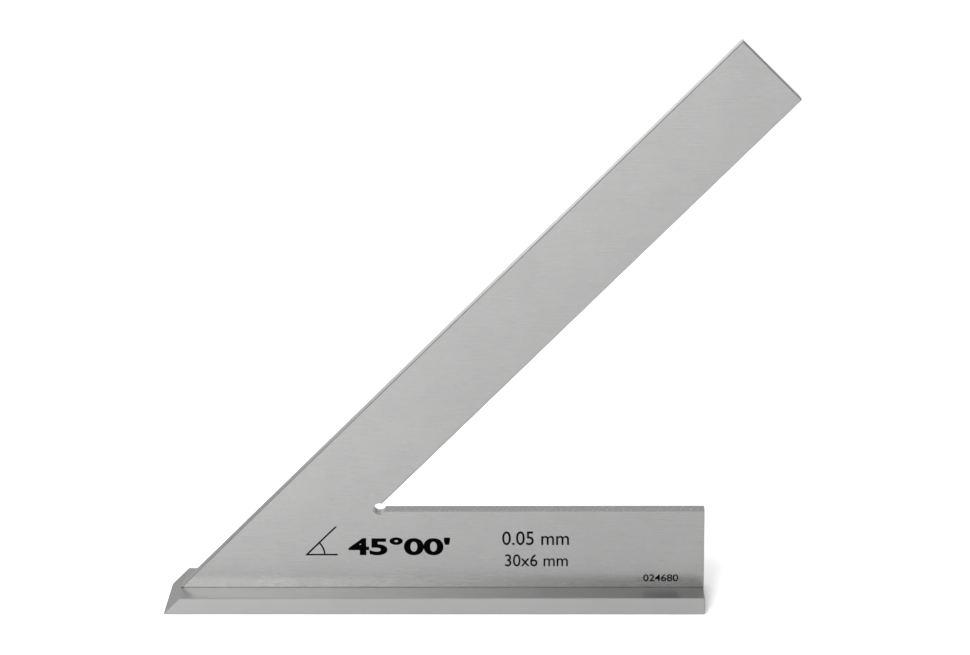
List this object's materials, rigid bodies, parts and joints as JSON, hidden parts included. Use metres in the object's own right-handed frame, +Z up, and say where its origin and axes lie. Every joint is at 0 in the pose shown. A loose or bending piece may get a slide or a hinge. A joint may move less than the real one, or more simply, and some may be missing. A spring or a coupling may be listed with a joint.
{
  "type": "fixed 45 degree square",
  "caption": "Fixed steel 45 degree square: flat blade with a long arm and a leg, pinned and screwed on a wide base so it stands by itself.",
  "frame": {"origin": "middle of the base's flat underside, which the square stands on", "axes": "+X along the base towards its square end, +Y away from the marked face, +Z up"},
  "size_m": [0.2326, 0.032, 0.2121],
  "materials": {
    "blade_steel": "satin ground",
    "base_steel": "satin ground",
    "screw_steel": "black oxide",
    "pin_steel": "fine ground",
    "etched_mark": "matt black etching"
  },
  "bodies": {
    "root": {"base": "base_steel", "blade": "blade_steel", "base_screw_1": "screw_steel", "base_screw_2": "screw_steel", "base_screw_3": "screw_steel", "base_screw_4": "screw_steel", "dowel_pin_left": "pin_steel", "dowel_pin_right": "pin_steel"}
  },
  "joints": []
}
